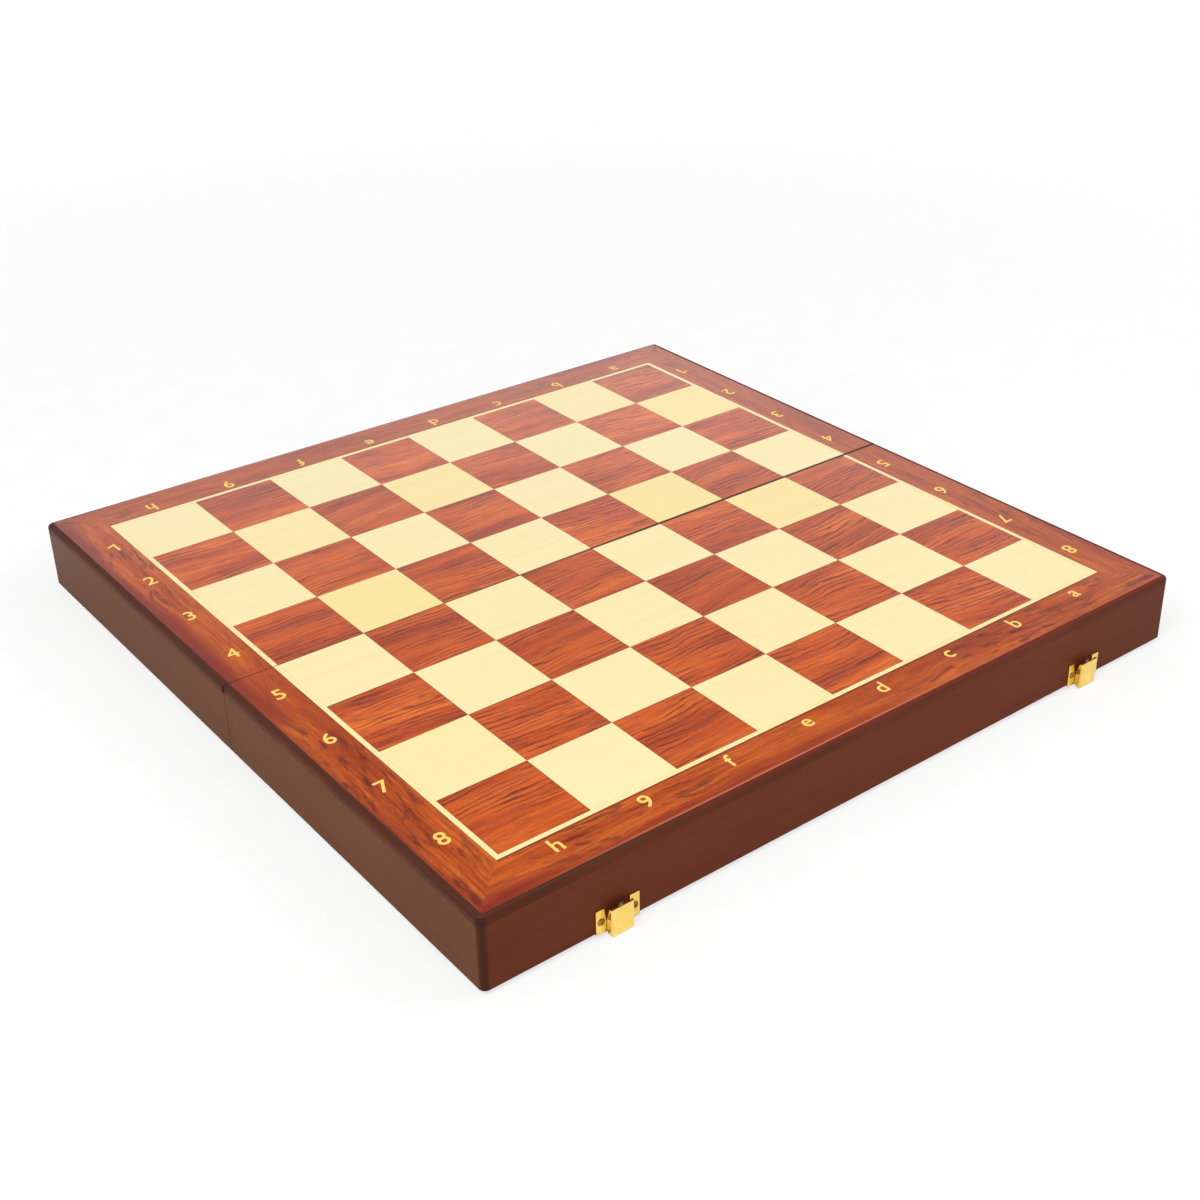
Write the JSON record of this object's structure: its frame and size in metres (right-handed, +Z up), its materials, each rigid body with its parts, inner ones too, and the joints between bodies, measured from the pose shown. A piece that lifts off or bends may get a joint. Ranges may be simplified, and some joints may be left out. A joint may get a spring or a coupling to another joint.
{
  "type": "folding game board case",
  "caption": "Flat folding wooden board of dark and light veneer squares; two hinged trays close into a storage case held by press-lever clasps.",
  "frame": {"origin": "middle of the open board on the surface it lies on, under the fold", "axes": "+X along the fold to the right, +Y from the clasp edge to the back edge, +Z up out of the playing surface"},
  "size_m": [0.39, 0.3972, 0.0357],
  "materials": {
    "wall_lacquer": "smooth dark brown lacquer",
    "inner_wood": "stained inner wall",
    "edge_lacquer": "red brown lacquered edge",
    "border_veneer": "glossy reddish veneer, grain along the strip",
    "dark_veneer": "glossy reddish brown streaked veneer",
    "light_veneer": "glossy cream veneer",
    "felt": "short green felt",
    "brass": "polished yellow plating",
    "screw_steel": "brass plated screws",
    "pin_steel": "drawn wire",
    "spring_steel": "spring strip"
  },
  "bodies": {
    "front_half": {"front_end_wall": "wall_lacquer", "front_left_wall": "wall_lacquer", "front_right_wall": "wall_lacquer", "front_seam_wall": "inner_wood", "front_core_panel": "edge_lacquer", "front_border_end": "border_veneer", "front_border_left": "border_veneer", "front_border_right": "border_veneer", "front_stringing": "light_veneer", "front_light_squares": "light_veneer", "front_dark_squares": "dark_veneer", "front_lining": "felt", "left_hinge_front_leaf": "brass", "right_hinge_front_leaf": "brass", "front_hinge_screws": "screw_steel", "left_hinge_pin": "pin_steel", "left_clasp_pin": "pin_steel", "left_clasp_spring": "spring_steel", "left_clasp_plate": "brass", "right_hinge_pin": "pin_steel", "right_clasp_pin": "pin_steel", "right_clasp_spring": "spring_steel", "right_clasp_plate": "brass", "clasp_screws": "screw_steel"},
    "back_half": {"back_end_wall": "wall_lacquer", "back_left_wall": "wall_lacquer", "back_right_wall": "wall_lacquer", "back_seam_wall": "inner_wood", "back_core_panel": "edge_lacquer", "back_border_end": "border_veneer", "back_border_left": "border_veneer", "back_border_right": "border_veneer", "back_stringing": "light_veneer", "back_light_squares": "light_veneer", "back_dark_squares": "dark_veneer", "back_lining": "felt", "left_hinge_back_leaf": "brass", "right_hinge_back_leaf": "brass", "back_hinge_screws": "screw_steel", "left_keeper": "brass", "right_keeper": "brass", "keeper_screws": "screw_steel"},
    "left_lever": {"left_clasp_lever": "brass"},
    "right_lever": {"right_clasp_lever": "brass"}
  },
  "joints": [
    {"name": "fold", "type": "hinge", "parent": "front_half", "child": "back_half", "pos_m": [0, 0, 0.0018], "axis": [-1, 0, 0], "range_deg": [0, 180]},
    {"name": "left_press", "type": "hinge", "parent": "front_half", "child": "left_lever", "pos_m": [-0.135, -0.1971, 0.007], "axis": [-1, 0, 0], "range_deg": [0, 20], "stiffness_Nm_per_rad": 0.03, "springref_deg": -5.73, "deforming": ["left_clasp_spring"]},
    {"name": "right_press", "type": "hinge", "parent": "front_half", "child": "right_lever", "pos_m": [0.135, -0.1971, 0.007], "axis": [-1, 0, 0], "range_deg": [0, 20], "stiffness_Nm_per_rad": 0.03, "springref_deg": -5.73, "deforming": ["right_clasp_spring"]}
  ]
}
